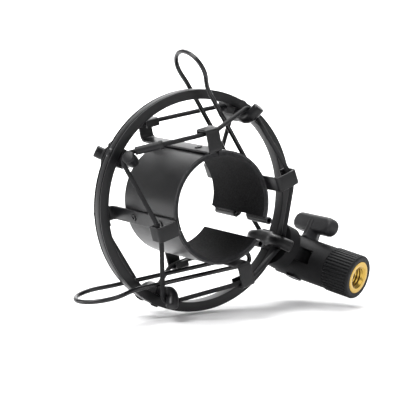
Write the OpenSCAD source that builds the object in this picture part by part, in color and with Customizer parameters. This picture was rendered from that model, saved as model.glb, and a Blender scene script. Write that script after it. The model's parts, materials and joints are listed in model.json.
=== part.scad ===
// Suspension mount with a squeeze-open spring clip, an elastic-cord cradle and a swivel stand adapter.
// Axis of the ring and of the clip is Y, the front faces -Y, Z is up. Millimetres.

/* [Ring] */
// Outer diameter of the suspension ring
ring_od = 106; // [96:1:120]
// Inner diameter of the suspension ring
ring_id = 96.8; // [88:0.2:112]
// Width of the ring along its axis
ring_w = 6.6; // [5:0.1:9]
// Chamfer on the ring's outer edges
ring_chamfer = 0.5; // [0:0.1:1]
// Depth of the two shallow grooves turned in the ring's outer face
ring_groove = 0.35; // [0:0.05:0.8]

/* [Hooks] */
// Diameter of a cord hook's horn
horn_d = 5.8; // [4:0.1:6]
// Distance of a hook's straight neck from the ring's axis
hook_r = 45.4; // [44:0.1:47]
// Half length of the straight neck
hook_half = 8; // [6:0.1:10]
// Bend radius of the horn's centre line
hook_bend = 6.2; // [5:0.1:8]
// Angle through which the horn bends outward
hook_turn = 62; // [45:1:80]
// Straight length at the horn's tip
hook_tip = 3.5; // [2:0.1:5]
// Diameter of the hook rivets' shanks
hook_rivet_d = 2; // [1.6:0.1:3]

/* [Clip] */
// Outer diameter of the clip's sheet-metal shells
clip_od = 52.6; // [48:0.1:60]
// Thickness of the shells
shell_t = 0.9; // [0.6:0.1:1.5]
// Thickness of the rubber pads
pad_t = 1.58; // [1.5:0.01:3]
// Front end of the clip along the axis
clip_front = -24; // [-30:0.1:-20]
// Rear end of the clip along the axis
clip_rear = 20.6; // [16:0.1:26]
// How far the lower jaw stands open at rest
lower_rest = 2.8; // [0:0.1:6]
// Outer diameter of the rolled knuckles
knuckle_od = 3.5; // [3:0.1:4.5]
// Bore of the rolled knuckles
knuckle_id = 2.3; // [1.8:0.05:3]

/* [Brackets] */
// Width of a bracket strip
strip_w = 7; // [5:0.1:9]
// Thickness of a bracket strip
strip_t = 1.2; // [0.8:0.1:1.6]
// Distance of a bracket's outer flange from the axis
head_r = 38; // [35:0.1:41]
// Length of the folded flange over the cord
flange_l = 9.2; // [6:0.1:11]
// Depth of the return lip that holds the cord
lip_h = 4; // [3:0.1:5]

/* [Cords and handles] */
// Diameter of the elastic cord
cord_d = 2.2; // [1.8:0.1:2.8]
// Diameter of the handle wire
wire_d = 2.2; // [1.8:0.1:2.8]
// Half distance between the two legs of a handle
leg_half = 8.1; // [7:0.1:10]
// Half width of a handle's loop at its widest
loop_half = 11.8; // [10:0.1:14]

/* [Swivel] */
// Diameter of the swivel body
body_d = 20.8; // [18:0.1:24]
// Distance of the swivel pin from the ring's axis
pivot_r = 70.6; // [68:0.1:74]
// Angle of the swivel body away from straight out
tilt = 65; // [0:1:85]
// Outer diameter of the knurled collar
collar_d = 21.7; // [20:0.1:26]
// Length of the knurled collar
collar_l = 14.7; // [12:0.1:22]
// Number of ridges round the collar
ridges = 40; // [24:1:60]
// Outer diameter of the brass thread adapter, 5/8 inch
adapter_d = 15.86; // [15.8:0.01:15.88]
// Thread bore of the adapter, 3/8 inch
adapter_bore = 9.52; // [9.4:0.01:9.6]

/* [Hidden] */
$fn = 96;
ro = ring_od / 2;
ri = ring_id / 2;
hr = horn_d / 2;
so = clip_od / 2;
si = so - shell_t;
pad_o = si - 0.02;
pad_i = si - pad_t - 0.02;
mid_y = (clip_front + clip_rear) / 2;
cr = cord_d / 2;
wr = wire_d / 2;
// Hooks and bracket angles, counter-clockwise seen from the front
hook_a = [59, 151, 245, 332];
swivel_a = 332;
top_a = 102;
left_a = 196;
bottom_a = 288;
right_a = 20.4;
// Front and rear face of each bracket
top_y = [-28.3, 34.6];
left_y = [-28.6, 33];
bottom_y = [-32, 35.5];
right_y = [-35, 31.5];
rivet_y = [-12.6, 11.6];
// Seams beside the top and left strips, about which the jaws swing
upper_hinge_a = 94.6;
lower_hinge_a = 203.4;
h2 = [so * cos(lower_hinge_a), 0, so * sin(lower_hinge_a)];
knuckle_r = 27.9;
k1_a = -18.4;
k2_a = -38;
cut_half = 5.8;
cord_hook_y = 9.4;
cord_head_r = head_r - strip_t - cr - 0.1;
black = [0.07, 0.07, 0.075];
rubber = [0.1, 0.1, 0.1];
gold = [0.85, 0.62, 0.2];

// A point given as outward, axial and tangential distance at an angle round the axis
function loc(a, p) = [p[0] * cos(a) - p[2] * sin(a), p[1], p[0] * sin(a) + p[2] * cos(a)];
// A point of the lower jaw, swung open about its seam
function swing(p, g) = let(d = p - h2) [h2[0] + d[0] * cos(g) + d[2] * sin(g), p[1], h2[2] - d[0] * sin(g) + d[2] * cos(g)];

// X outward, Y axial, Z round the ring
module at(a) rotate([0, -a, 0]) children();

// Sector of a tube about the Y axis
module arc_band(r1, r2, y1, y2, a1, a2)
  rotate([90, 0, 0]) rotate([0, 0, a1]) rotate_extrude(angle = a2 - a1)
    translate([r1, -y2]) square([r2 - r1, y2 - y1]);

module rod(p, q, r) {
  d = q - p;
  len = norm(d);
  translate(p) rotate([0, acos(d[2] / len), atan2(d[1], d[0])]) cylinder(r = r, h = len, $fn = 48);
}

function unit(v) = v / norm(v);
// Rounds the corner at b with a short parabola
function bend(a, b, c, d, n) = let(e = min(d, 0.45 * norm(a - b), 0.45 * norm(c - b)), p = b + unit(a - b) * e, q = b + unit(c - b) * e)
  [for (i = [0 : n]) let(t = i / n) p * ((1 - t) * (1 - t)) + b * (2 * t * (1 - t)) + q * (t * t)];
function rounded(pts, d, n) = concat([pts[0]], [for (i = [1 : len(pts) - 2]) each bend(pts[i - 1], pts[i], pts[i + 1], d, n)], [pts[len(pts) - 1]]);
function rounded_loop(pts, d, n) = let(k = len(pts)) [for (i = [0 : k - 1]) each bend(pts[(i + k - 1) % k], pts[i], pts[(i + 1) % k], d, n)];
function carry(t, v, i) = i == len(t) ? [] : let(w = unit(v - (v * t[i]) * t[i])) concat([w], carry(t, w, i + 1));

// A round wire swept through a list of points; v is a first direction across the wire
module wire(pts, r, v, loop, m) {
  k = len(pts);
  t = [for (i = [0 : k - 1]) loop ? unit(pts[(i + 1) % k] - pts[(i + k - 1) % k]) : unit(pts[min(i + 1, k - 1)] - pts[max(i - 1, 0)])];
  n = loop ? [for (i = [0 : k - 1]) unit(v - (v * t[i]) * t[i])] : carry(t, v, 0);
  polyhedron(
    points = [for (i = [0 : k - 1]) for (j = [0 : m - 1]) pts[i] + r * (cos(360 * j / m) * n[i] + sin(360 * j / m) * cross(t[i], n[i]))],
    faces = concat(
      [for (i = [0 : loop ? k - 1 : k - 2]) for (j = [0 : m - 1]) [i * m + j, ((i + 1) % k) * m + j, i * m + (j + 1) % m]],
      [for (i = [0 : loop ? k - 1 : k - 2]) for (j = [0 : m - 1]) [i * m + (j + 1) % m, ((i + 1) % k) * m + j, ((i + 1) % k) * m + (j + 1) % m]],
      loop ? [] : [[for (j = [0 : m - 1]) j], [for (j = [m - 1 : -1 : 0]) (k - 1) * m + j]]));
}

module swung() translate(h2) rotate([0, lower_rest, 0]) translate(-h2) children();

// ---------------------------------------------------------------- ring and hooks
module ring_profile() {
  h = ring_w / 2;
  c = ring_chamfer;
  g = ring_groove;
  polygon([[ri, -h + 0.3], [ri + 0.3, -h], [ro - c, -h], [ro, -h + c], [ro, -h + 1.1], [ro - g, -h + 1.3], [ro - g, -h + 1.6], [ro, -h + 1.8],
    [ro, h - 1.8], [ro - g, h - 1.6], [ro - g, h - 1.3], [ro, h - 1.1], [ro, h - c], [ro - c, h], [ri + 0.3, h], [ri, h - 0.3]]);
}

module outer_ring() color(black) difference() {
  rotate([90, 0, 0]) rotate_extrude(angle = 360) ring_profile();
  for (a = hook_a) at(a) translate([ri - 2, 0, 0]) rotate([0, 90, 0]) cylinder(r = hook_rivet_d / 2 + 0.03, h = 10);
  at(swivel_a) for (s = [-1, 1]) {
    translate([ri - 2, 0, s * 7.4]) rotate([0, 90, 0]) cylinder(r = 1.4, h = 10);
    translate([ri - 3, 0, s * 7.4]) rotate([0, 90, 0]) cylinder(r = 2.4, h = 4.2);
  }
}

module horn() {
  translate([hook_r, 0.1, 0]) rotate([90, 0, 0]) cylinder(r = hr, h = hook_half + 0.2);
  // bend, outward and forward
  translate([hook_r + hook_bend, -hook_half, 0]) rotate([0, 0, 180]) rotate_extrude(angle = hook_turn)
    translate([hook_bend, 0]) circle(r = hr - 0.04, $fn = 64);
  translate([hook_r + hook_bend * (1 - cos(hook_turn)), -hook_half - hook_bend * sin(hook_turn), 0])
    rotate([0, 0, hook_turn]) translate([0, 0.1, 0]) rotate([90, 0, 0]) cylinder(r = hr, h = hook_tip + 0.1);
}

module hook(a) color(black) difference() {
  union() {
    at(a) horn();
    at(a) mirror([0, 1, 0]) horn();
    arc_band(hook_r - 0.6, ri - 0.03, -3.6, 3.6, a - 5.4, a + 5.4);
  }
  at(a) translate([hook_r - 1.5, 0, 0]) rotate([0, 90, 0]) cylinder(r = hook_rivet_d / 2 + 0.03, h = 6);
}

module hook_upper_right() hook(hook_a[0]);
module hook_upper_left() hook(hook_a[1]);
module hook_lower_left() hook(hook_a[2]);
module hook_lower_right() hook(hook_a[3]);

module hook_rivets() color(black) for (a = hook_a) at(a) {
  translate([hook_r - 1.2, 0, 0]) rotate([0, 90, 0]) cylinder(r = hook_rivet_d / 2, h = ro - hook_r + 1.4);
  translate([ro + 0.02, 0, 0]) rotate([0, 90, 0]) cylinder(r1 = 2.2, r2 = 1.5, h = 0.75);
}

// ---------------------------------------------------------------- swivel boss on the ring
module swivel_boss() color(black) at(swivel_a) difference() {
  union() {
    difference() {
      translate([49.5, 0, 0]) rotate([0, 90, 0]) cylinder(r = 11, h = pivot_r - 11.4 - 49.5);
      rotate([90, 0, 0]) cylinder(r = ro + 0.03, h = 60, center = true, $fn = 180);
    }
    translate([54.5, -7.2, -3.2]) cube([pivot_r - 54.5, 14.4, 6.4]);
    translate([pivot_r, 0, -3.2]) cylinder(r = 8.2, h = 6.4);
  }
  translate([pivot_r, 0, 0]) cylinder(r = 2.55, h = 30, center = true);
  for (s = [-1, 1]) translate([50, 0, s * 7.4]) rotate([0, 90, 0]) cylinder(r = 1.32, h = 5.6);
  translate([50, 0, 0]) rotate([0, 90, 0]) cylinder(r = 2.5, h = 4.1);
}

module boss_screws() color(black) at(swivel_a) for (s = [-1, 1]) translate([0, 0, s * 7.4]) difference() {
  union() {
    translate([ri + 0.05, 0, 0]) rotate([0, 90, 0]) cylinder(r = 1.3, h = 55.4 - ri);
    translate([ri - 0.3, 0, 0]) rotate([0, 90, 0]) cylinder(r = 2.3, h = 1.4);
  }
  translate([ri - 0.8, 0, 0]) rotate([0, 90, 0]) cylinder(r = 1.15, h = 1.3, $fn = 6);
}

// ---------------------------------------------------------------- cords
function hook_wrap(a, s) = [for (u = [-42, -14, 14, 42]) loc(a, [hook_r + 0.4 + 4.35 * cos(u), s * cord_hook_y, 4.25 * sin(u)])];
function head_pass(a, y) = [loc(a, [cord_head_r, y, -4.4]), loc(a, [cord_head_r, y, 4.4])];
function lower_pass(y) = [for (p = head_pass(bottom_a, y)) swing(p, lower_rest)];
function cord_y(b, s) = s < 0 ? b[0] + 4.2 : b[1] - 4.2;
function cord_loop(s) = concat(
  hook_wrap(hook_a[1], s), head_pass(left_a, cord_y(left_y, s)),
  hook_wrap(hook_a[2], s), lower_pass(cord_y(bottom_y, s)),
  hook_wrap(hook_a[3], s), head_pass(right_a, cord_y(right_y, s)),
  hook_wrap(hook_a[0], s), head_pass(top_a, cord_y(top_y, s)));

module cord(s) wire(rounded_loop(cord_loop(s), 3, 3), cr, [0, 1, 0], true, 12);

// The sleeve that joins the cord's two ends, beside the upper left hook
module sleeve(s) {
  p = cord_loop(s);
  a = p[len(p) - 1];
  b = p[0];
  q1 = b + (a - b) * 0.09;
  q2 = b + (a - b) * 0.48;
  difference() {
    union() {
      rod(q1, q2, 1.95);
      rod(q2 + (q1 - q2) * 0.12, q2, 2.15);
    }
    rod(q1 + (q1 - q2) * 0.3, q2 + (q2 - q1) * 0.3, cr + 0.03);
  }
}

module front_cord() color(black) cord(-1);
module rear_cord() color(black) cord(1);
module front_cord_sleeve() color(black) sleeve(-1);
module rear_cord_sleeve() color(black) sleeve(1);

// ---------------------------------------------------------------- brackets
// Rounds an outer corner of a bracket's side profile
module corner(x, y, sx, sy, r) translate([x, y]) mirror([sx < 0 ? 1 : 0, 0]) mirror([0, sy < 0 ? 1 : 0]) difference() {
  translate([-r, -r]) square([r + 1, r + 1]);
  translate([-r, -r]) circle(r = r, $fn = 64);
  translate([-r - 1, -r - 1]) square([r + 1, 2 * r + 2]);
  translate([-r - 1, -r - 1]) square([2 * r + 2, r + 1]);
}

module bracket_profile(yf, yr) difference() {
  union() {
    translate([so + 0.05, yf]) square([strip_t, yr - yf]);
    translate([so + 0.05, yf]) square([head_r - so - 0.05, strip_t]);
    translate([head_r - strip_t, yf]) square([strip_t, flange_l]);
    translate([head_r - lip_h, yf + flange_l - strip_t]) square([lip_h, strip_t]);
    translate([so + 0.05, yr - strip_t]) square([head_r - so - 0.05, strip_t]);
    translate([head_r - strip_t, yr - flange_l]) square([strip_t, flange_l]);
    translate([head_r - lip_h, yr - flange_l]) square([lip_h, strip_t]);
  }
  corner(head_r, yf, 1, -1, 1.6);
  corner(head_r, yf + flange_l, 1, 1, 1.6);
  corner(head_r, yr, 1, 1, 1.6);
  corner(head_r, yr - flange_l, 1, -1, 1.6);
  corner(so + 0.05, yf, -1, -1, 1.1);
  corner(so + 0.05, yr, -1, 1, 1.1);
}

module rivet_holes(a) at(a) for (y = rivet_y) translate([so - 3, y, 0]) rotate([0, 90, 0]) cylinder(r = 1.12, h = 6, $fn = 48);

module bracket(a, y) difference() {
  at(a) translate([0, 0, -strip_w / 2]) linear_extrude(strip_w) bracket_profile(y[0], y[1]);
  rivet_holes(a);
}

// Hollow rivets through a strip and the shell under it
module rivets(a) at(a) for (y = rivet_y) translate([0, y, 0]) rotate([0, 90, 0]) difference() {
  union() {
    translate([0, 0, si + 0.12]) cylinder(r = 1.1, h = so + strip_t - si, $fn = 48);
    translate([0, 0, so + strip_t + 0.07]) cylinder(r1 = 1.9, r2 = 1.6, h = 0.5, $fn = 48);
  }
  translate([0, 0, so + 0.2]) cylinder(r = 0.75, h = 4, $fn = 48);
}

module top_bracket() color(black) bracket(top_a, top_y);
module left_bracket() color(black) bracket(left_a, left_y);
module right_bracket() color(black) bracket(right_a, right_y);
module bottom_bracket() color(black) swung() bracket(bottom_a, bottom_y);
module back_rivets() color(black) { rivets(top_a); rivets(left_a); }
module upper_jaw_rivets() color(black) rivets(right_a);
module lower_jaw_rivets() color(black) swung() rivets(bottom_a);

// ---------------------------------------------------------------- clip
module back_shell() color(black) difference() {
  arc_band(si, so, clip_front, clip_rear, 97, 201);
  rivet_holes(top_a);
  rivet_holes(left_a);
}
module back_pad() color(rubber) arc_band(pad_i, pad_o, clip_front, clip_rear, 95, 203);

// Flat sector between two radii
module sector(r1, r2, a1, a2) intersection() {
  difference() {
    circle(r = r2, $fn = 180);
    circle(r = r1, $fn = 180);
  }
  polygon(concat([[0, 0]], [for (i = [0 : 4]) let(a = a1 + (a2 - a1) * i / 4) 2 * r2 * [cos(a), sin(a)]]));
}

// side is +1 where the sheet lies counter-clockwise of its knuckle
module jaw_shell(a1, a2, ka, hole_a, side) difference() {
  translate([0, clip_rear, 0]) rotate([90, 0, 0]) linear_extrude(clip_rear - clip_front) difference() {
    union() {
      sector(si, so, a1, a2);
      translate(knuckle_r * [cos(ka), sin(ka)]) circle(r = knuckle_od / 2, $fn = 60);
    }
    translate(knuckle_r * [cos(ka), sin(ka)]) circle(r = knuckle_id / 2, $fn = 60);
  }
  at(ka) translate([si - 0.5, mid_y - cut_half, -2.35 + side * 0.65]) cube([6, 2 * cut_half, 4.7]);
  rivet_holes(hole_a);
}

module upper_jaw_shell() color(black) jaw_shell(k1_a + 0.8, 93.6, k1_a, right_a, 1);
module upper_jaw_pad() color(rubber) arc_band(pad_i, pad_o, clip_front, clip_rear, -16.2, 94.2);
module lower_jaw_shell() color(black) swung() jaw_shell(204.4, 360 + k2_a - 0.8, k2_a, bottom_a, -1);
module lower_jaw_pad() color(rubber) swung() arc_band(pad_i, pad_o, clip_front, clip_rear, 203.8, 322.6);

// ---------------------------------------------------------------- handles
// Half width of a loop, where t runs 0 to 1 over the flare and 1 to 2 over the rounded end
function flare(t) = leg_half + (loop_half - leg_half) * (1 - cos(180 * t)) / 2;
function loop_pts(p, d, l1, l2, s) = concat(
  [for (t = [0, 0.35, 0.68]) p + d * (l1 + (l2 - l1) * 0.5 * t) + [0, s * flare(t), 0]],
  [for (e = [0 : 22.5 : 67.5]) p + d * (l1 + (l2 - l1) * (0.5 + 0.5 * sin(e))) + [0, s * loop_half * cos(e), 0]]);
function rev(v) = [for (i = [len(v) - 1 : -1 : 0]) v[i]];

up_d = [cos(122), 0, sin(122)];
up_0 = [29 * cos(32), mid_y, 29 * sin(32) + 0.6];
up_1 = up_0 + up_d * 44;
up_e = [cos(115), 0, sin(115)];
function upper_leg(s) = concat(
  [loc(k1_a, [knuckle_r, mid_y + s * 15, 0]), loc(k1_a, [knuckle_r, mid_y + s * 4.8, 0]), loc(k1_a, [knuckle_r, mid_y + s * 3.4, 0]),
   loc(-10, [28.9, mid_y + s * 5, 0]), loc(4, [29.35, mid_y + s * 6.2, 0]), loc(18, [29.35, mid_y + s * 7.4, 0]),
   up_0 + [0, s * leg_half, 0]],
  loop_pts(up_1, up_e, 0, 19.8, s));
module upper_handle() color(black) wire(rounded(concat(upper_leg(-1), [up_1 + up_e * 19.8], rev(upper_leg(1))), 3, 3), wr, [cos(k1_a), 0, sin(k1_a)], false, 14);

lo_d = [cos(185.75), 0, sin(185.75)];
lo_y = mid_y + 0.4;
lo_0 = [18.2, lo_y, -32.1];
lo_1 = lo_0 + lo_d * 56;
lo_e = [cos(189), 0, sin(189)];
k2 = swing(loc(k2_a, [knuckle_r, mid_y, 0]), lower_rest);
function lower_leg(s) = concat(
  [k2 + [0, s * 15, 0], k2 + [0, s * 4.8, 0], k2 + [0, s * 3.4, 0], [24.6, lo_y + s * 5.5, -25.6], [26.2, lo_y + s * 6.3, -27.8],
   [26.1, lo_y + s * 7.0, -29.9], [24.2, lo_y + s * 7.8, -31.3], [21.5, lo_y + s * leg_half, -31.77]],
  loop_pts(lo_1, lo_e, 0, 27, s));
module lower_handle() color(black) wire(rounded(concat(lower_leg(-1), [lo_1 + lo_e * 27], rev(lower_leg(1))), 3, 3), wr, [cos(k2_a), 0, sin(k2_a)], false, 14);

// ---------------------------------------------------------------- swivel
// X along the collar, Z along the swivel pin
module sw() at(swivel_a) translate([pivot_r, 0, 0]) rotate([0, 0, -tilt]) children();
br = body_d / 2;
body_end = 18.5;
collar_0 = body_end + 0.15;
collar_1 = collar_0 + collar_l;
adapter_0 = collar_1 - 9.2;

module swivel_body() color(black) sw() difference() {
  union() {
    rotate([0, 90, 0]) cylinder(r = br, h = body_end);
    intersection() {
      translate([-br, 0, 0]) rotate([0, 90, 0]) cylinder(r = br, h = br + 0.1);
      cylinder(r = br, h = 2 * br + 2, center = true);
    }
  }
  translate([-br - 1, -br - 1, -3.5]) cube([br + 1 + 9.9, 2 * br + 2, 7]);
  cylinder(r = 2.55, h = 3 * br, center = true);
  translate([0, 0, -br - 1]) cylinder(r = 8.1 / sqrt(3), h = 4.2, $fn = 6);
  translate([0, 0, br - 0.9]) cylinder(r = 5, h = 3);
  translate([body_end - 7, 0, 0]) rotate([0, 90, 0]) cylinder(r = 3.02, h = 8);
}

module clamp_nut() color(black) sw() difference() {
  translate([0, 0, -br - 0.5]) cylinder(r = 8 / sqrt(3), h = 3.6, $fn = 6);
  cylinder(r = 2.53, h = 3 * br, center = true);
}

module collar_screw() color(black) sw() difference() {
  union() {
    translate([body_end - 6.8, 0, 0]) rotate([0, 90, 0]) cylinder(r = 3, h = 7);
    translate([body_end + 0.02, 0, 0]) rotate([0, 90, 0]) cylinder(r = 4, h = 5);
    translate([collar_0 + 4.24, 0, 0]) rotate([0, 90, 0]) cylinder(r = 6, h = 1.1);
  }
  translate([collar_0 + 2.8, 0, 0]) rotate([0, 90, 0]) cylinder(r = 2.3, h = 4, $fn = 6);
}

module thumb_screw_handle() color(black) sw() difference() {
  union() {
    translate([0, 0, br - 0.8]) cylinder(r = 4.4, h = 11);
    rotate([0, 0, tilt - 90]) translate([0, 0, 18]) rotate([90, 0, 0]) linear_extrude(7.2, center = true) {
      square([22, 9], center = true);
      for (s = [-1, 1]) translate([s * 11, 0]) circle(r = 4.5);
    }
  }
  cylinder(r = 2.52, h = 17.5);
}

module thumb_screw_bolt() color(black) sw() translate([0, 0, -br - 0.2]) cylinder(r = 2.5, h = br + 0.2 + 17.4);

module knurled_collar() color(black) sw() difference() {
  translate([collar_0, 0, 0]) rotate([0, 90, 0]) linear_extrude(collar_l)
    polygon([for (i = [0 : ridges - 1]) for (k = [[0, 0], [0.22, 0], [0.42, 0.5], [0.8, 0.5]])
      let(a = (i + k[0]) * 360 / ridges, r = collar_d / 2 - 0.5 + k[1]) [r * cos(a), r * sin(a)]]);
  translate([collar_0 - 1, 0, 0]) rotate([0, 90, 0]) cylinder(r = 4.04, h = 8);
  translate([collar_0 + 4.2, 0, 0]) rotate([0, 90, 0]) cylinder(r = adapter_d / 2 + 0.03, h = 20);
}

module thread_adapter() color(gold) sw() difference() {
  translate([adapter_0, 0, 0]) rotate([0, 90, 0]) cylinder(r = adapter_d / 2, h = 9.2);
  translate([adapter_0 - 1, 0, 0]) rotate([0, 90, 0]) cylinder(r = adapter_bore / 2, h = 12);
  translate([adapter_0 + 8.2, 0, 0]) rotate([0, 90, 0]) cylinder(r1 = adapter_bore / 2, r2 = adapter_bore / 2 + 1.2, h = 1.2);
}

outer_ring();
hook_upper_right();
hook_upper_left();
hook_lower_left();
hook_lower_right();
hook_rivets();
swivel_boss();
boss_screws();
front_cord();
rear_cord();
front_cord_sleeve();
rear_cord_sleeve();
back_shell();
back_pad();
top_bracket();
left_bracket();
back_rivets();
upper_jaw_shell();
upper_jaw_pad();
right_bracket();
upper_jaw_rivets();
upper_handle();
lower_jaw_shell();
lower_jaw_pad();
bottom_bracket();
lower_jaw_rivets();
lower_handle();
swivel_body();
clamp_nut();
collar_screw();
thumb_screw_handle();
thumb_screw_bolt();
knurled_collar();
thread_adapter();
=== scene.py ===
import json
import math

import bpy
import numpy as np
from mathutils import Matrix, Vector


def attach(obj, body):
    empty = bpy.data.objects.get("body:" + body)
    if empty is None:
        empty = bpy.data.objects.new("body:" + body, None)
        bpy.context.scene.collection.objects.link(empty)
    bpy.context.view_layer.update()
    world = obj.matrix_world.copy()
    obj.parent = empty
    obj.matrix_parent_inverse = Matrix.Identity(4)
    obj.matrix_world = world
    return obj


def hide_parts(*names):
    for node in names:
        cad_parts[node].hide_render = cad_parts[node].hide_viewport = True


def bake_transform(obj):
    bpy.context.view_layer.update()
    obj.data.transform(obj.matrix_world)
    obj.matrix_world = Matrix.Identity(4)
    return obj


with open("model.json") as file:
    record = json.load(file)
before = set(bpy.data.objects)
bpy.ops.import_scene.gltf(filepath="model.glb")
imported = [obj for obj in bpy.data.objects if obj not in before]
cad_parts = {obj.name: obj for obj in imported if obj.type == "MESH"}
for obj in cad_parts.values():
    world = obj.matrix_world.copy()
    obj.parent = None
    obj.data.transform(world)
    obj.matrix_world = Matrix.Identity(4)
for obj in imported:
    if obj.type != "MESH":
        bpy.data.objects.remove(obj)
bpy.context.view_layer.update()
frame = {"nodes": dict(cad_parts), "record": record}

MM = 0.001


# ------------------------------------------------------------------ materials
def material(name, base, rough, spread=0.06, bump=0.15, scale=900.0, tone=0.25, metallic=0.0, coat=0.0, coat_rough=0.1, detail=4.0, large=35.0,
             spec=0.5, edge=0.2, speck=0.0):
    """A surface with a fine grain, a slow drift of tone and gloss, and a little wear."""
    m = bpy.data.materials.new(name)
    m.use_nodes = True
    t = m.node_tree
    b = t.nodes["Principled BSDF"]
    co = t.nodes.new("ShaderNodeTexCoord")
    fine = t.nodes.new("ShaderNodeTexNoise")
    fine.inputs["Scale"].default_value = scale
    fine.inputs["Detail"].default_value = detail
    slow = t.nodes.new("ShaderNodeTexNoise")
    slow.inputs["Scale"].default_value = large
    slow.inputs["Detail"].default_value = 3.0
    t.links.new(co.outputs["Object"], fine.inputs["Vector"])
    t.links.new(co.outputs["Object"], slow.inputs["Vector"])
    ramp = t.nodes.new("ShaderNodeMix")
    ramp.data_type = "RGBA"
    lo = [c * (1 - tone) for c in base]
    hi = [min(1, c * (1 + tone)) for c in base]
    ramp.inputs["A"].default_value = (*lo, 1)
    ramp.inputs["B"].default_value = (*hi, 1)
    t.links.new(slow.outputs["Fac"], ramp.inputs["Factor"])
    t.links.new(ramp.outputs["Result"], b.inputs["Base Color"])
    r = t.nodes.new("ShaderNodeMapRange")
    r.inputs["To Min"].default_value = max(0.02, rough - spread)
    r.inputs["To Max"].default_value = min(1, rough + spread)
    t.links.new(slow.outputs["Fac"], r.inputs["Value"])
    t.links.new(r.outputs["Result"], b.inputs["Roughness"])
    b.inputs["Metallic"].default_value = metallic
    b.inputs["Specular IOR Level"].default_value = spec
    b.inputs["Coat Weight"].default_value = coat
    b.inputs["Coat Roughness"].default_value = coat_rough
    n = t.nodes.new("ShaderNodeBump")
    n.inputs["Strength"].default_value = bump
    n.inputs["Distance"].default_value = 0.00008
    t.links.new(fine.outputs["Fac"], n.inputs["Height"])
    if edge:
        e = t.nodes.new("ShaderNodeBevel")
        e.samples = 6
        e.inputs["Radius"].default_value = edge * 0.001
        t.links.new(e.outputs["Normal"], n.inputs["Normal"])
    if speck:
        k = t.nodes.new("ShaderNodeMix")
        k.data_type = "RGBA"
        k.blend_type = "MULTIPLY"
        k.inputs["Factor"].default_value = 1.0
        g = t.nodes.new("ShaderNodeMapRange")
        g.inputs["From Min"].default_value = 0.35
        g.inputs["From Max"].default_value = 0.65
        g.inputs["To Min"].default_value = 1 - speck
        g.inputs["To Max"].default_value = 1 + speck
        t.links.new(fine.outputs["Fac"], g.inputs["Value"])
        t.links.new(ramp.outputs["Result"], k.inputs["A"])
        t.links.new(g.outputs["Result"], k.inputs["B"])
        t.links.new(k.outputs["Result"], b.inputs["Base Color"])
    t.links.new(n.outputs["Normal"], b.inputs["Normal"])
    return m


M = {
    "ring_paint": material("ring_paint", (0.0068, 0.0068, 0.0076), 0.38, 0.05, 0.25, 1500, spec=0.27, edge=0.0),
    "clip_paint": material("clip_paint", (0.0062, 0.0062, 0.0070), 0.34, 0.05, 0.3, 1500, spec=0.25),
    "handle_wire": material("handle_wire", (0.006, 0.006, 0.007), 0.27, 0.04, 0.08, 700, spec=0.4),
    "pad_rubber": material("pad_rubber", (0.0095, 0.0095, 0.0102), 0.85, 0.06, 1.0, 1500, detail=6, spec=0.13, speck=0.6),
    "elastic_cord": material("elastic_cord", (0.008, 0.008, 0.0088), 0.66, 0.06, 0.5, 1600, spec=0.22),
    "sleeve_plastic": material("sleeve_plastic", (0.009, 0.009, 0.010), 0.46, 0.05, 0.2, 1200, spec=0.3),
    "swivel_plastic": material("swivel_plastic", (0.0045, 0.0045, 0.0052), 0.6, 0.05, 0.5, 1700, spec=0.17),
    "collar_plastic": material("collar_plastic", (0.0052, 0.0055, 0.0062), 0.55, 0.05, 0.4, 1700, spec=0.19),
    "dark_steel": material("dark_steel", (0.03, 0.03, 0.032), 0.4, 0.08, 0.1, 600, metallic=1.0),
    "brass": material("brass", (0.40, 0.262, 0.058), 0.24, 0.06, 0.05, 500, tone=0.1, metallic=1.0),
}



def painted_edge_highlight(m, highlight_colour, rough):
    """Painted highlight: a lighter colour, broken up by grain, on faces that look along the axis, the shells' and
    pads' front and rear edges.
    """
    t = m.node_tree
    b = t.nodes["Principled BSDF"]
    src = b.inputs["Base Color"].links[0].from_socket
    co = t.nodes.new("ShaderNodeTexCoord")
    sep = t.nodes.new("ShaderNodeSeparateXYZ")
    geo = t.nodes.new("ShaderNodeNewGeometry")
    ab = t.nodes.new("ShaderNodeMath")
    ab.operation = "ABSOLUTE"
    # painted highlight mask: faces whose normal looks along the axis
    highlight_mask = t.nodes.new("ShaderNodeMapRange")
    highlight_mask.inputs["From Min"].default_value = 0.9
    highlight_mask.inputs["From Max"].default_value = 0.98
    grain = t.nodes.new("ShaderNodeTexNoise")
    grain.inputs["Scale"].default_value = 420
    grain.inputs["Detail"].default_value = 4
    mul = t.nodes.new("ShaderNodeMath")
    mul.operation = "MULTIPLY"
    mix = t.nodes.new("ShaderNodeMix")
    mix.data_type = "RGBA"
    mix.inputs["B"].default_value = (*highlight_colour, 1)
    t.links.new(geo.outputs["True Normal"], sep.inputs["Vector"])
    t.links.new(co.outputs["Object"], grain.inputs["Vector"])
    t.links.new(sep.outputs["Y"], ab.inputs[0])
    t.links.new(ab.outputs["Value"], highlight_mask.inputs["Value"])
    t.links.new(highlight_mask.outputs["Result"], mul.inputs[0])
    t.links.new(grain.outputs["Fac"], mul.inputs[1])
    t.links.new(mul.outputs["Value"], mix.inputs["Factor"])
    t.links.new(src, mix.inputs["A"])
    t.links.new(mix.outputs["Result"], b.inputs["Base Color"])
    return m


# the shells and pads get a painted highlight on their front and rear edge faces
SHELL = painted_edge_highlight(material("shell_paint", (0.0068, 0.0068, 0.0076), 0.33, 0.05, 0.3, 1500, spec=0.27, edge=0.25), (0.05, 0.05, 0.053), 0.5)
PAD = painted_edge_highlight(material("pad_rubber_painted_edge", (0.0085, 0.0085, 0.0092), 0.85, 0.06, 1.0, 1500, detail=6, spec=0.12, speck=0.6), (0.035, 0.035, 0.037), 0.8)
THUMB = material("thumb_plastic", (0.014, 0.014, 0.0155), 0.5, 0.05, 0.6, 1700, spec=0.3)

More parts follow.
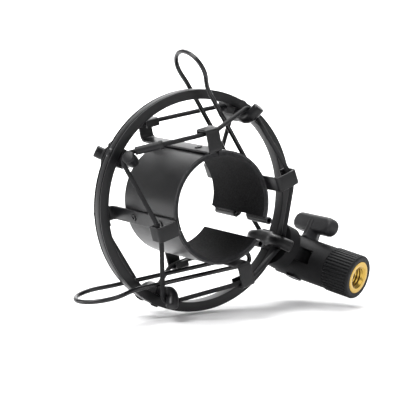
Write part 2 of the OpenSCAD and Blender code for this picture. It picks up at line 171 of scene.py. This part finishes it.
for name, o in frame["nodes"].items():
    slot = next(s["material_slot"] for s in frame["record"]["subparts"] if s["node"] == name)
    o.data.materials.clear()
    o.data.materials.append(SHELL if name.endswith("_shell") else PAD if name.endswith("_pad") else M[slot])

# ------------------------------------------------------------------ shape helpers, in millimetres
def cosd(a):
    return math.cos(math.radians(a))


def sind(a):
    return math.sin(math.radians(a))


def unit(v):
    v = np.asarray(v, float)
    return v / np.linalg.norm(v)


def loc(a, p):
    return np.array([p[0] * cosd(a) - p[2] * sind(a), p[1], p[0] * sind(a) + p[2] * cosd(a)])


def mesh(name, verts, faces, slot, sharp=32.0):
    me = bpy.data.meshes.new(name)
    me.from_pydata([tuple(v) for v in np.asarray(verts, float) * MM], [], [tuple(f) for f in faces])
    me.validate()
    me.shade_smooth()
    me.set_sharp_from_angle(angle=math.radians(sharp))
    o = bpy.data.objects.new(name, me)
    bpy.context.scene.collection.objects.link(o)
    me.materials.append(M[slot])
    return o


def bevel(o, width, segments=2, angle=35):
    b = o.modifiers.new("edge", "BEVEL")
    b.width = width * MM
    b.segments = segments
    b.limit_method = "ANGLE"
    b.angle_limit = math.radians(angle)
    b.harden_normals = True
    return o


def bend(a, b, c, d, n):
    e = min(d, 0.45 * np.linalg.norm(a - b), 0.45 * np.linalg.norm(c - b))
    p, q = b + unit(a - b) * e, b + unit(c - b) * e
    return [p * (1 - t) ** 2 + b * 2 * t * (1 - t) + q * t * t for t in np.linspace(0, 1, n + 1)]


def rounded(pts, d, n=8):
    pts = [np.asarray(p, float) for p in pts]
    out = [pts[0]]
    for i in range(1, len(pts) - 1):
        out += bend(pts[i - 1], pts[i], pts[i + 1], d, n)
    return out + [pts[-1]]


def rounded_loop(pts, d, n=8):
    pts = [np.asarray(p, float) for p in pts]
    k = len(pts)
    out = []
    for i in range(k):
        out += bend(pts[i - 1], pts[i], pts[(i + 1) % k], d, n)
    return out


def resample(pts, step, loop=False):
    p = np.array(pts, float)
    if loop:
        p = np.vstack([p, p[:1]])
    seg = np.linalg.norm(np.diff(p, axis=0), axis=1)
    keep = np.concatenate([[True], seg > 1e-6])
    p = p[keep]
    seg = np.linalg.norm(np.diff(p, axis=0), axis=1)
    s = np.concatenate([[0], np.cumsum(seg)])
    n = max(2, int(round(s[-1] / step)))
    t = np.linspace(0, s[-1], n + 1)
    if loop:
        t = t[:-1]
    return np.stack([np.interp(t, s, p[:, i]) for i in range(3)], 1), t, s[-1]


def smooth_path(p, rounds, loop=False):
    p = p.copy()
    for _ in range(rounds):
        q = p.copy()
        if loop:
            q = (np.roll(p, 1, 0) + 2 * p + np.roll(p, -1, 0)) / 4
        else:
            q[1:-1] = (p[:-2] + 2 * p[1:-1] + p[2:]) / 4
        p = q
    return p


def tangents(p, loop):
    if loop:
        t = np.roll(p, -1, 0) - np.roll(p, 1, 0)
    else:
        t = np.gradient(p, axis=0)
    return t / np.linalg.norm(t, axis=1)[:, None]


def carry(t, v):
    out = []
    v = np.asarray(v, float)
    for ti in t:
        v = unit(v - (v @ ti) * ti)
        out.append(v)
    return np.array(out)


def rings(p, t, n, radius, m):
    """radius is a number, or an array of one row for each ring and one column for each point round it."""
    a = np.linspace(0, 2 * math.pi, m, endpoint=False)
    b = np.cross(t, n)
    r = np.broadcast_to(np.asarray(radius, float), (len(p), m))
    return p[:, None, :] + r[:, :, None] * (np.cos(a)[None, :, None] * n[:, None, :] + np.sin(a)[None, :, None] * b[:, None, :])


def skin(v, loop=False, caps=True):
    """Faces for stacked rings of points."""
    k, m = v.shape[:2]
    faces = []
    for i in range(k if loop else k - 1):
        j = (i + 1) % k
        for c in range(m):
            d = (c + 1) % m
            faces.append((i * m + c, i * m + d, j * m + d, j * m + c))
    if caps and not loop:
        faces.append(tuple(range(m - 1, -1, -1)))
        faces.append(tuple((k - 1) * m + c for c in range(m)))
    return v.reshape(-1, 3), faces


def round_wire(name, pts, r, slot, v0, step=0.6, m=28, end_round=0.25, smooth=6):
    p, _, _ = resample(pts, step)
    p = smooth_path(p, smooth)
    t = tangents(p, False)
    n = carry(t, v0)
    # rounded ends
    rad = np.full((len(p), 1), r)
    extra_p, extra_t, extra_n, extra_r = [], [], [], []
    v = rings(p, t, n, rad, m)
    lead, tail = [], []
    for a in (75, 50, 25):
        k = r - end_round + end_round * cosd(a)
        h = end_round * sind(a)
        lead.append(rings(p[:1] - t[:1] * h, t[:1], n[:1], k, m)[0])
        tail.append(rings(p[-1:] + t[-1:] * h, t[-1:], n[-1:], k, m)[0])
    v = np.concatenate([np.array(lead), v, np.array(tail[::-1])])
    return mesh(name, *skin(v), slot)


def frame_at(origin, x, y, z):
    return np.array(origin, float), np.array([x, y, z], float)


def to_world(pts, fr):
    o, b = fr
    return o + np.asarray(pts, float) @ b


def lathe(name, prof, fr, slot, segs=96, a0=0.0, a1=360.0, closed=True, sharp=32.0):
    """Turns a closed outline of (radius, height) about the frame's third axis."""
    full = abs(a1 - a0) >= 360
    k = segs if full else segs + 1
    ang = [a0 + (a1 - a0) * i / segs for i in range(k)]
    v = np.array([[(r * cosd(a), r * sind(a), h) for r, h in prof] for a in ang])
    m = len(prof)
    faces = []
    for i in range(segs):
        j = (i + 1) % k
        for c in range(m if closed else m - 1):
            d = (c + 1) % m
            faces.append((i * m + c, j * m + c, j * m + d, i * m + d))
    if not full:
        faces.append(tuple(range(m)))
        faces.append(tuple((k - 1) * m + c for c in range(m - 1, -1, -1)))
    return mesh(name, to_world(v.reshape(-1, 3), fr), faces, slot, sharp)


def soft_outline(pts, r, n=4):
    """Rounds a closed outline's corners by a small radius."""
    pts = [np.asarray(p, float) for p in pts]
    out = []
    for i in range(len(pts)):
        a, b, c = pts[i - 1], pts[i], pts[(i + 1) % len(pts)]
        out += bend(a, b, c, r, n)
    return [tuple(p) for p in out]


# ------------------------------------------------------------------ dimensions shared with the CAD
RO, RI, RW = 53.0, 48.4, 6.6
HOOK_A = (59, 151, 245, 332)
TOP_A, LEFT_A, BOTTOM_A, RIGHT_A = 102, 196, 288, 20.4
TOP_Y, LEFT_Y, BOTTOM_Y, RIGHT_Y = (-28.3, 34.6), (-28.6, 33), (-32, 35.5), (-35, 31.5)
HOOK_R = 45.4
SO = 26.3
MID_Y = (-24 + 20.6) / 2
CR, WR = 1.1, 1.1
HEAD_R = 38.0
CORD_HOOK_Y = 9.4
CORD_HEAD_R = HEAD_R - 1.2 - CR - 0.1
KN_R, K1_A, K2_A = 27.9, -18.4, -38
LOWER_REST = 2.8
LEG_HALF, LOOP_HALF = 8.1, 11.8
H2 = np.array([SO * cosd(203.4), 0, SO * sind(203.4)])


def swing(p, g=LOWER_REST):
    d = np.asarray(p, float) - H2
    return np.array([H2[0] + d[0] * cosd(g) + d[2] * sind(g), p[1], H2[2] - d[0] * sind(g) + d[2] * cosd(g)])


# ------------------------------------------------------------------ ring
h = RW / 2
outline = [(RI, -h + 0.35), (RI + 0.35, -h), (RO - 0.22, -h), (RO, -h + 0.22), (RO, -h + 0.75), (RO - 0.65, -h + 0.85), (RO - 0.65, -h + 1.45), (RO, -h + 1.55),
           (RO, h - 1.55), (RO - 0.65, h - 1.45), (RO - 0.65, h - 0.85), (RO, h - 0.75), (RO, h - 0.22), (RO - 0.22, h), (RI + 0.35, h), (RI, h - 0.35)]
outline = [(r, -y) for r, y in outline]
ring = lathe("ring_turned", soft_outline(outline, 0.06, 2), frame_at((0, 0, 0), (1, 0, 0), (0, 0, 1), (0, -1, 0)), "ring_paint", segs=288, sharp=25)
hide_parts("outer_ring")
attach(ring, "ring")

# ------------------------------------------------------------------ cords
def hook_wrap(a, s):
    return [loc(a, (HOOK_R + 0.4 + 4.35 * cosd(u), s * CORD_HOOK_Y, 4.25 * sind(u))) for u in (-42, -14, 14, 42)]


def head_pass(a, y):
    return [loc(a, (CORD_HEAD_R, y, -4.4)), loc(a, (CORD_HEAD_R, y, 4.4))]


def cord_y(b, s):
    return b[0] + 4.2 if s < 0 else b[1] - 4.2


def cord(tag, s):
    groups = [
        ("ring", hook_wrap(HOOK_A[1], s)), ("clip_back", head_pass(LEFT_A, cord_y(LEFT_Y, s))),
        ("ring", hook_wrap(HOOK_A[2], s)), ("lower_jaw", [swing(p) for p in head_pass(BOTTOM_A, cord_y(BOTTOM_Y, s))]),
        ("ring", hook_wrap(HOOK_A[3], s)), ("upper_jaw", head_pass(RIGHT_A, cord_y(RIGHT_Y, s))),
        ("ring", hook_wrap(HOOK_A[0], s)), ("clip_back", head_pass(TOP_A, cord_y(TOP_Y, s)))]
    ctrl = [p for _, g in groups for p in g]
    p, d, total = resample(rounded_loop(ctrl, 3, 8), 0.2, True)
    p = smooth_path(p, 10, True)
    t = tangents(p, True)
    up = np.array([0.0, 1.0, 0.0])
    n = up - (t @ up)[:, None] * t
    n /= np.linalg.norm(n, axis=1)[:, None]
    m = 32
    ang = np.linspace(0, 2 * math.pi, m, endpoint=False)[None, :]
    turns = round(total / 6.4)
    ph = (2 * math.pi * turns * 4 * d / total)[:, None]
    weave = np.maximum(np.abs(np.cos(4 * ang + ph / 1.0)), np.abs(np.cos(4 * ang - ph / 1.0)))
    rad = CR * (0.955 + 0.055 * weave)
    v = rings(p, t, n, rad, m)
    near = lambda q: int(np.argmin(np.linalg.norm(p - q, axis=1)))
    cuts = []
    for body, g in groups:
        cuts.append((body, near(g[0]), near(g[-1])))
    count = len(p)

    def part(name, i, j):
        if j < i:
            j += count
        idx = [k % count for k in range(i, j + 1)]
        return mesh(name, *skin(v[idx], caps=False), "elastic_cord", sharp=75), p[i % count], p[j % count]

    made = []
    for k, (body, i, j) in enumerate(cuts):
        o, _, _ = part(f"{tag}_cord_hold_{k}", i, j)
        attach(o, body)
        made.append(o)
        nb, ni, _ = cuts[(k + 1) % len(cuts)]
        end = ni if ni > j else ni + count
        head = nb if nb != "ring" else body
        if head == "clip_back":
            o, a, b = part(f"{tag}_cord_span_{k}", j, end)
            if body == "ring":
                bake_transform(o)
            else:
                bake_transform(o)
            made.append(o)
            span = (a, b)
        else:
            # spans to a jaw are cut in two, the cut close to the hook
            mid = j + int((end - j) * (0.16 if body == "ring" else 0.84))
            o1, a, b = part(f"{tag}_cord_span_{k}a", j, mid)
            o2, c, e = part(f"{tag}_cord_span_{k}b", mid, end)
            if body == "ring":
                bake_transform(o1)
                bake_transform(o2)
            else:
                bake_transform(o1)
                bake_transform(o2)
            made += [o1, o2]
    for o in made:
        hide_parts(f"{tag}_cord")
    return ctrl


def sleeve(tag, ctrl):
    """The plastic sleeve over the cord's two ends, on the stretch of cord between the top bracket's head and the upper
    left hook.
    """
    a, b = ctrl[-1], ctrl[0]
    q1, q2 = b + (a - b) * 0.09, b + (a - b) * 0.48
    x = unit(q2 - q1)
    ref = unit(np.cross(x, (0, 1, 0)))
    fr = frame_at(q1, ref, np.cross(x, ref), x)
    ln = np.linalg.norm(q2 - q1)
    prof = [(1.13, 0.0), (1.13, ln), (1.75, ln), (2.15, ln - 0.35), (2.15, ln * 0.88), (1.95, ln * 0.88 - 0.25), (1.95, 0.3), (1.75, 0.0)]
    prof = [(r, hh) for r, hh in prof][::-1]
    o = lathe(f"{tag}_sleeve", soft_outline(prof, 0.15, 3), fr, "sleeve_plastic", segs=48, sharp=50)
    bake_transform(o)
    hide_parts(f"{tag}_cord_sleeve")
    return o


for tag, s in (("front", -1), ("rear", 1)):
    c = cord(tag, s)
    sleeve(tag, c)


# ------------------------------------------------------------------ hooks
def hook_path():
    """Centre line of a hook in its own plane: outward, axial."""
    half, rb, turn, tip = 8.0, 6.2, 62.0, 3.5
    arc = [(HOOK_R + rb * (1 - cosd(a)), half + rb * sind(a)) for a in np.linspace(0, turn, 22)]
    end = np.array(arc[-1]) + tip * np.array([sind(turn), cosd(turn)])
    one = arc + [tuple(np.array(arc[-1]) + (end - np.array(arc[-1])) * k) for k in (0.5, 1.0)]
    return [(x, -y) for x, y in one[::-1]] + [(HOOK_R, y) for y in (-7.0, -6.0, -5.0, -4.0, -2.0, 0.0, 2.0, 4.0, 5.0, 6.0, 7.0)] + one


def hook(name, a):
    m, r, e = 48, 2.9, 0.7
    p = np.array([[x, y, 0.0] for x, y in hook_path()])
    d0, d1 = unit(p[0] - p[1]), unit(p[-1] - p[-2])
    t = tangents(p, False)
    t[0], t[-1] = -d0, d1
    n = np.tile([0.0, 0.0, 1.0], (len(p), 1))
    rad = np.full(len(p), r)
    lead_p, lead_r = [], []
    for g in (88, 70, 52, 34, 16, 0):
        lead_p.append(e * (1 - sind(g)))
        lead_r.append(r - e + e * cosd(g))
    q0 = [p[0] - d0 * k for k in lead_p]
    q1 = [p[-1] - d1 * k for k in lead_p[::-1]]
    pp = np.array(q0 + list(p[1:-1]) + q1)
    tt = np.array([t[0]] * 6 + list(t[1:-1]) + [t[-1]] * 6)
    nn = np.tile([0.0, 0.0, 1.0], (len(pp), 1))
    rr = np.array(lead_r + list(rad[1:-1]) + lead_r[::-1])[:, None]
    rv = rings(pp, tt, nn, rr, m)
    for i in range(len(rv)):
        u = min(1.0, max(0.0, (8.6 - abs(pp[i][1])) / 4.6)) if pp[i][0] < HOOK_R + 1.5 else 0.0
        u = u * u * (3 - 2 * u)
        d = rv[i] - pp[i]
        d[:, 2] *= 1 + 0.36 * u
        # flatter towards the middle of the hoop, so the seat reads as a plate
        d[:, 0] = np.where(d[:, 0] < 0, d[:, 0] * (1 - 0.22 * u) , d[:, 0])
        k4 = np.abs(d[:, 2]) / (2.9 * 1.46)
        d[:, 0] *= 1 - 0.12 * u * k4 ** 2
        rv[i] = pp[i] + d
    v, f = skin(rv)
    v = np.array([loc(a, q) for q in v])
    o = mesh(name + "_bar", v, f, "clip_paint", 40)
    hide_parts(name)
    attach(o, "ring")
    # the saddle that seats it on the ring
    prof = []
    i0, i1 = HOOK_R - 0.6, RI - 0.03
    k = 24
    ring_v = []
    for j in range(k + 1):
        g = a - 5.4 + 10.8 * j / k
        sec = [(i0 + 0.3, -3.6), (i1, -3.6), (i1, 3.6), (i0 + 0.3, 3.6), (i0, 3.3), (i0, -3.3)]
        ring_v.append([loc(g, (x, y, 0)) for x, y in sec])
    v, f = skin(np.array(ring_v))
    o = mesh(name + "_saddle", v, f, "clip_paint", 30)
    bevel(o, 0.25, 3)
    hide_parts(name)
    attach(o, "ring")


for name, a in zip(("hook_upper_right", "hook_upper_left", "hook_lower_left", "hook_lower_right"), HOOK_A):
    hook(name, a)


# ------------------------------------------------------------------ brackets
def strip_section(w, th, c, k=4):
    """Rounded rectangle: across the strip, through the strip."""
    out = []
    for sx, sy, g0 in ((1, 1, 0), (-1, 1, 90), (-1, -1, 180), (1, -1, 270)):
        for j in range(k + 1):
            g = g0 + 90 * j / k
            out.append((sx * (w / 2 - c) + c * cosd(g), sy * (th / 2 - c) + c * sind(g)))
    return np.array(out)


def bracket(name, a, yf, yr, body, move=None):
    """A strip along the shell, its ends bent outward and folded back over the cord."""
    th, w, hr, fl, lip = 1.2, 7.0, HEAD_R, 9.2, 4.0
    c, lo = th / 2, SO + 0.05
    path = [(hr - lip, yf + fl - c), (hr - c, yf + fl - c), (hr - c, yf + c), (lo + c, yf + c),
            (lo + c, yr - c), (hr - c, yr - c), (hr - c, yr - fl + c), (hr - lip, yr - fl + c)]
    path = [np.array([x, y, 0.0]) for x, y in path]
    p = [path[0]]
    for i, e in zip(range(1, 7), (1.2, 1.7, 1.6, 3.0, 1.7, 1.2)):
        p += bend(path[i - 1], path[i], path[i + 1], e, 10)
    p = np.array(p + [path[-1]])
    # straight runs are split so the skin shades evenly
    q = [p[0]]
    for u, v in zip(p[:-1], p[1:]):
        d = np.linalg.norm(v - u)
        for j in range(1, max(1, int(d / 3.0)) + 1):
            q.append(u + (v - u) * j / max(1, int(d / 3.0)))
    p = np.array(q)
    t = tangents(p, False)
    sec = strip_section(w, th, 0.28)
    e = 0.25
    pts = []
    for i in range(len(p)):
        across = np.array([0.0, 0.0, 1.0])
        through = np.cross(t[i], across)
        pts.append([p[i] + across * x + through * y for x, y in sec])
    first = [p[0] + t[0] * 0.0 + np.array([0, 0, 1.0]) * x * (1 - 2 * e / w) + np.cross(t[0], (0, 0, 1.0)) * y * (1 - 2 * e / th) for x, y in sec]
    last = [p[-1] + np.array([0, 0, 1.0]) * x * (1 - 2 * e / w) + np.cross(t[-1], (0, 0, 1.0)) * y * (1 - 2 * e / th) for x, y in sec]
    pts[0] = [np.array(z) + t[0] * e for z in pts[0]]
    pts[-1] = [np.array(z) - t[-1] * e for z in pts[-1]]
    v = np.array([first] + pts + [last])
    v, f = skin(v)
    v = np.array([loc(a, z) for z in v])
    if move is not None:
        v = np.array([move(z) for z in v])
    o = mesh(name + "_strip", v, f, "clip_paint", 40)
    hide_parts(name)
    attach(o, body)


bracket("top_bracket", TOP_A, *TOP_Y, "clip_back")
bracket("left_bracket", LEFT_A, *LEFT_Y, "clip_back")
bracket("right_bracket", RIGHT_A, *RIGHT_Y, "upper_jaw")
bracket("bottom_bracket", BOTTOM_A, *BOTTOM_Y, "lower_jaw", swing)

# ------------------------------------------------------------------ swivel
PIV, TILT, SW_A = 70.6, 65.0, 332
BODY_END, COLLAR_L = 18.5, 14.7
COLLAR_0 = BODY_END + 0.15
COLLAR_1 = COLLAR_0 + COLLAR_L
ADAPTER_0 = COLLAR_1 - 9.2


def sw(p):
    """From the swivel's own axes to the frame: X along the collar, Z along the pin."""
    x, y, z = p
    x, y = x * cosd(TILT) + y * sind(TILT), -x * sind(TILT) + y * cosd(TILT)
    return loc(SW_A, (x + PIV, y, z))


def sw_frame(origin):
    o = sw(origin)
    ax = sw((origin[0] + 1, origin[1], origin[2])) - o
    z = sw((origin[0], origin[1], origin[2] + 1)) - o
    return frame_at(o, z, np.cross(ax, z), ax)


# collar: ribs run out just short of a plain rounded rim
def collar_outline():
    ro = 21.7 / 2
    out = []
    for i in range(40):
        for f, dr in ((0.0, -0.5), (0.07, -0.52), (0.14, -0.5), (0.21, -0.42), (0.27, -0.2), (0.33, -0.03), (0.4, 0.0), (0.52, 0.02), (0.64, 0.02), (0.76, 0.0),
                      (0.83, -0.03), (0.89, -0.2), (0.95, -0.42)):
            out.append(((i + f) * 360 / 40, ro + dr))
    return out


def collar():
    rib = collar_outline()
    ang = [a for a, _ in rib]
    full = 21.7 / 2
    bore = 15.86 / 2 + 0.05
    rows = []
    # outward face from the body end to the front rim, then the face, then the bore
    for x, inset, depth in ((0.0, 0.45, 1.0), (0.12, 0.2, 1.0), (0.4, 0.0, 1.0), (4.0, 0, 1.0), (8.0, 0, 1.0), (12.0, 0, 1.0), (COLLAR_L - 1.5, 0, 1.0),
                            (COLLAR_L - 1.15, 0.0, 0.7), (COLLAR_L - 0.95, 0.04, 0.25), (COLLAR_L - 0.8, 0.08, 0.0), (COLLAR_L - 0.5, 0.2, 0.0), (COLLAR_L - 0.25, 0.42, 0.0),
                            (COLLAR_L - 0.08, 0.72, 0.0), (COLLAR_L, 1.1, 0.0)):
        rows.append([(r - full) * depth + full - inset for _, r in rib])
        rows[-1] = (x, rows[-1])
    for x, r in ((COLLAR_L, bore + 0.35), (COLLAR_L - 0.1, bore + 0.1), (COLLAR_L - 0.35, bore), (4.25, bore)):
        rows.append((x, [r] * len(rib)))
    for x, r in ((4.2, 4.1), (0.02, 4.1)):
        rows.append((x, [r] * len(rib)))
    rows.append((0.0, [4.2] * len(rib)))
    v = np.array([[sw((COLLAR_0 + x, r * sind(g), r * cosd(g))) for g, r in zip(ang, rr)] for x, rr in rows])
    k, m = v.shape[:2]
    faces = []
    for i in range(k):
        j = (i + 1) % k
        for c in range(m):
            d = (c + 1) % m
            faces.append((i * m + c, j * m + c, j * m + d, i * m + d))
    o = mesh("collar_ribbed", v.reshape(-1, 3), faces, "collar_plastic", 38)
    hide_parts("knurled_collar")
    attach(o, "collar")
    return o


collar()


def adapter():
    """Threaded inside and out: a stud thread in the bore, a finer one where it screws into the collar."""
    m, ln = 96, 9.2
    ang = np.arange(m) * 360 / m
    tri = lambda u: np.abs(((u + 0.5) % 1.0) * 2 - 1)
    rows = []
    step = 0.16
    xs = np.arange(0.4, 8.6, step)
    out_r = 15.86 / 2
    rows.append((0.0, np.full(m, out_r - 0.55)))
    for x in xs:
        ph = tri(x / 0.94 - ang / 360)
        rows.append((x, out_r - 0.42 * np.clip(1.25 * (1 - ph) - 0.1, 0, 1)))
    rows.append((8.65, np.full(m, out_r)))
    rows.append((ln - 0.2, np.full(m, out_r)))
    rows.append((ln - 0.05, np.full(m, out_r - 0.08)))
    rows.append((ln, np.full(m, out_r - 0.25)))
    lip = 9.52 / 2 + 0.95
    rows.append((ln, np.full(m, lip)))
    rows.append((ln - 0.06, np.full(m, lip - 0.12)))
    rows.append((ln - 0.75, np.full(m, 9.52 / 2 + 0.2)))
    for x in np.arange(ln - 0.95, 0.35, -step):
        ph = tri(x / 1.5875 - ang / 360)
        rows.append((x, 9.52 / 2 + 0.02 - 0.55 * np.clip(1.3 * ph - 0.15, 0, 1)))
    rows.append((0.0, np.full(m, 9.52 / 2 + 0.1)))
    v = np.array([[sw((ADAPTER_0 + x, r * sind(g), r * cosd(g))) for g, r in zip(ang, rr)] for x, rr in rows])
    k = len(rows)
    faces = []
    for i in range(k):
        j = (i + 1) % k
        for c in range(m):
            d = (c + 1) % m
            faces.append((i * m + c, j * m + c, j * m + d, i * m + d))
    o = mesh("adapter_threaded", v.reshape(-1, 3), faces, "brass", 40)
    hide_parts("thread_adapter")
    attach(o, "adapter")
    return o


adapter()


def stadium(hl, r, n=14):
    """Outline of a slot shape, counter-clockwise."""
    out = [(hl + r * cosd(g), r * sind(g)) for g in np.linspace(-90, 90, n + 1)]
    out += [(hl * (1 - 2 * k / 6), r) for k in range(1, 6)]
    out += [(-hl + r * cosd(g), r * sind(g)) for g in np.linspace(90, 270, n + 1)]
    out += [(-hl + hl * 2 * k / 6, -r) for k in range(1, 6)]
    return out


def thumb_screw():
    """T handle: a rounded bar on a ribbed stem."""
    turn = TILT - 90
    c, s_ = cosd(turn), sind(turn)

    def place(p):
        x, y, z = p
        return sw((x * c - y * s_, x * s_ + y * c, z))

    e = 2.3
    # offset from the flat face, and how far the outline draws in there
    levels = [(-3.6 + e * (1 - sind(g)), e * (1 - cosd(g))) for g in np.linspace(90, 0, 8)]
    levels += [(-q, d) for q, d in levels[::-1]]
    hl = 11.0
    v = np.array([[place((x, w, 18 + z)) for x, z in stadium(hl, 4.5 - d)] for w, d in levels])
    o = mesh("thumb_bar", *skin(v), "swivel_plastic", 50)
    o.data.materials[0] = THUMB
    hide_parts("thumb_screw_handle")
    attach(o, "thumb_screw")
    # stem, with eight shallow flutes, widening at its foot
    m = 96
    ang = np.arange(m) * 360 / m
    rows = []
    br = 20.8 / 2
    for z, r, dep in ((br - 0.8, 4.1, 0), (br - 0.7, 4.35, 0), (br - 0.4, 4.4, 0), (br + 0.1, 4.4, 0), (br + 0.5, 4.36, 0.25), (br + 1.0, 4.3, 0.5), (br + 3.0, 4.15, 0.5),
                      (br + 5.0, 4.1, 0.5), (br + 7.0, 4.15, 0.5), (br + 9.0, 4.1, 0.5)):
        rows.append([place((( r - dep * (0.5 - 0.5 * math.cos(math.radians(6 * g))) ) * cosd(g), (r - dep * (0.5 - 0.5 * math.cos(math.radians(6 * g)))) * sind(g), z)) for g in ang])
    o = mesh("thumb_stem", *skin(np.array(rows)), "swivel_plastic", 40)
    o.data.materials[0] = THUMB
    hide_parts("thumb_screw_handle")
    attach(o, "thumb_screw")


thumb_screw()

# ------------------------------------------------------------------ handles
def flare(t):
    return LEG_HALF + (LOOP_HALF - LEG_HALF) * (1 - cosd(180 * t)) / 2


def loop_pts(p, d, l1, l2, s):
    out = [p + d * (l1 + (l2 - l1) * 0.5 * t) + np.array([0, s * flare(t), 0]) for t in (0, 0.35, 0.68)]
    for e in (0, 22.5, 45, 67.5):
        out.append(p + d * (l1 + (l2 - l1) * (0.5 + 0.5 * sind(e))) + np.array([0, s * LOOP_HALF * cosd(e), 0]))
    return out


up_d = np.array([cosd(122), 0, sind(122)])
up_0 = np.array([29 * cosd(32), MID_Y, 29 * sind(32) + 0.6])
up_1 = up_0 + up_d * 44
up_e = np.array([cosd(115), 0, sind(115)])


def upper_leg(s):
    return [loc(K1_A, (KN_R, MID_Y + s * 15, 0)), loc(K1_A, (KN_R, MID_Y + s * 4.8, 0)), loc(K1_A, (KN_R, MID_Y + s * 3.4, 0)), loc(-10, (28.9, MID_Y + s * 5, 0)),
            loc(4, (29.35, MID_Y + s * 6.2, 0)), loc(18, (29.35, MID_Y + s * 7.4, 0)), up_0 + np.array([0, s * LEG_HALF, 0])] + loop_pts(up_1, up_e, 0, 19.8, s)


lo_d = np.array([cosd(185.75), 0, sind(185.75)])
LO_Y = MID_Y + 0.4
lo_0 = np.array([18.2, LO_Y, -32.1])
lo_1 = lo_0 + lo_d * 56
lo_e = np.array([cosd(189), 0, sind(189)])
k2 = swing(loc(K2_A, (KN_R, MID_Y, 0)))


def lower_leg(s):
    y = lambda q: LO_Y + s * q
    return [k2 + np.array([0, s * 15, 0]), k2 + np.array([0, s * 4.8, 0]), k2 + np.array([0, s * 3.4, 0]), np.array([24.6, y(5.5), -25.6]), np.array([26.2, y(6.3), -27.8]),
            np.array([26.1, y(7.0), -29.9]), np.array([24.2, y(7.8), -31.3]), np.array([21.5, y(LEG_HALF), -31.77])] + loop_pts(lo_1, lo_e, 0, 27, s)


pts = rounded(upper_leg(-1) + [up_1 + up_e * 19.8] + upper_leg(1)[::-1], 3, 8)
o = round_wire("upper_handle_wire", pts, WR, "handle_wire", (cosd(K1_A), 0, sind(K1_A)))
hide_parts("upper_handle")
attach(o, "upper_jaw")
pts = rounded(lower_leg(-1) + [lo_1 + lo_e * 27] + lower_leg(1)[::-1], 3, 8)
o = round_wire("lower_handle_wire", pts, WR, "handle_wire", (cosd(K2_A), 0, sind(K2_A)))
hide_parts("lower_handle")
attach(o, "lower_jaw")

# ------------------------------------------------------------------ studio
floor_z = -0.0545


def backdrop(name, z):
    """A floor that curves up into a wall behind the object, square to the camera."""
    f = Vector((-math.sin(math.radians(-32.2)), math.cos(math.radians(-32.2)), 0))
    r = Vector((f.y, -f.x, 0))
    prof = [(-0.75, 0.0), (-0.3, 0.0), (0.5, 0.0)]
    prof += [(1.1 + 1.2 * math.sin(math.radians(a)), 1.2 - 1.2 * math.cos(math.radians(a))) for a in range(0, 91, 3)]
    prof += [(2.3, 2.4), (2.3, 4.0)]
    verts = []
    for d, h in prof:
        for k in (-3.5, -1.2, 1.2, 3.5):
            p = f * d + r * k
            verts.append((p.x, p.y, z + h))
    faces = [(i * 4 + j, i * 4 + j + 1, i * 4 + j + 5, i * 4 + j + 4) for i in range(len(prof) - 1) for j in range(3)]
    me = bpy.data.meshes.new(name)
    me.from_pydata(verts, [], faces)
    me.shade_smooth()
    o = bpy.data.objects.new(name, me)
    bpy.context.scene.collection.objects.link(o)
    return o


floor = backdrop("floor", floor_z)
fm = material("floor_pale", (0.9, 0.9, 0.905), 0.8, 0.04, 0.02, 60, tone=0.008, large=3.0, spec=0.15, edge=0.0)
floor.data.materials.append(fm)


def area(name, loc, aim, size, power, col=(1, 1, 1), size_y=None):
    d = bpy.data.lights.new(name, "AREA")
    d.energy = power
    d.size = size
    if size_y:
        d.shape = "RECTANGLE"
        d.size_y = size_y
    d.color = col
    o = bpy.data.objects.new(name, d)
    o.location = loc
    o.rotation_euler = (Vector(aim) - Vector(loc)).to_track_quat("-Z", "Y").to_euler()
    bpy.context.scene.collection.objects.link(o)
    return o


az = math.radians(-32.2)
el = math.radians(7.95)
right = Vector((math.cos(az), math.sin(az), 0))
back = Vector((math.sin(az) * math.cos(el), -math.cos(az) * math.cos(el), math.sin(el)))
upv = back.cross(right)


def cam_space(r, u, b):
    return right * r + upv * u + back * b


area("key", cam_space(-0.55, 0.95, 0.55), (0, 0, 0), 0.55, 15)
area("fill", cam_space(0.9, 0.35, 0.8), (0, 0, 0), 0.8, 3.5)
area("top", cam_space(0.15, 1.1, -0.35), (0, 0, 0), 0.9, 9)
area("side", cam_space(-1.0, 0.05, 0.15), (0, 0, 0), 0.5, 4)
area("wall", cam_space(0.0, 1.6, -0.9), cam_space(0, 0.3, -2.4), 1.6, 60)

w = bpy.data.worlds.new("studio")
bpy.context.scene.world = w
w.use_nodes = True
bg = w.node_tree.nodes["Background"]
bg.inputs["Color"].default_value = (1, 1, 1, 1)
bg.inputs["Strength"].default_value = 0.42
# seen straight on, the surroundings are as pale as the floor
seen = w.node_tree.nodes.new("ShaderNodeBackground")
seen.inputs["Color"].default_value = (1, 1, 1, 1)
seen.inputs["Strength"].default_value = 1.0
path = w.node_tree.nodes.new("ShaderNodeLightPath")
pick = w.node_tree.nodes.new("ShaderNodeMixShader")
w.node_tree.links.new(path.outputs["Is Camera Ray"], pick.inputs["Fac"])
w.node_tree.links.new(bg.outputs["Background"], pick.inputs[1])
w.node_tree.links.new(seen.outputs["Background"], pick.inputs[2])
w.node_tree.links.new(pick.outputs["Shader"], w.node_tree.nodes["World Output"].inputs["Surface"])

cam_d = bpy.data.cameras.new("camera")
cam = bpy.data.objects.new("camera", cam_d)
bpy.context.scene.collection.objects.link(cam)
dist = 0.9815
aim = right * (5.5 / 2.0952 * MM) + upv * (0.4 / 2.0952 * MM)
cam.location = aim + back * dist
cam.rotation_euler = (aim - cam.location).to_track_quat("-Z", "Y").to_euler()
cam_d.sensor_width = 36
cam_d.lens = 36 / (2 * (200 / 2.0952 * MM) / dist) * 1.006
cam_d.clip_start = 0.05
bpy.context.scene.camera = cam
bpy.context.scene.view_settings.view_transform = "Standard"
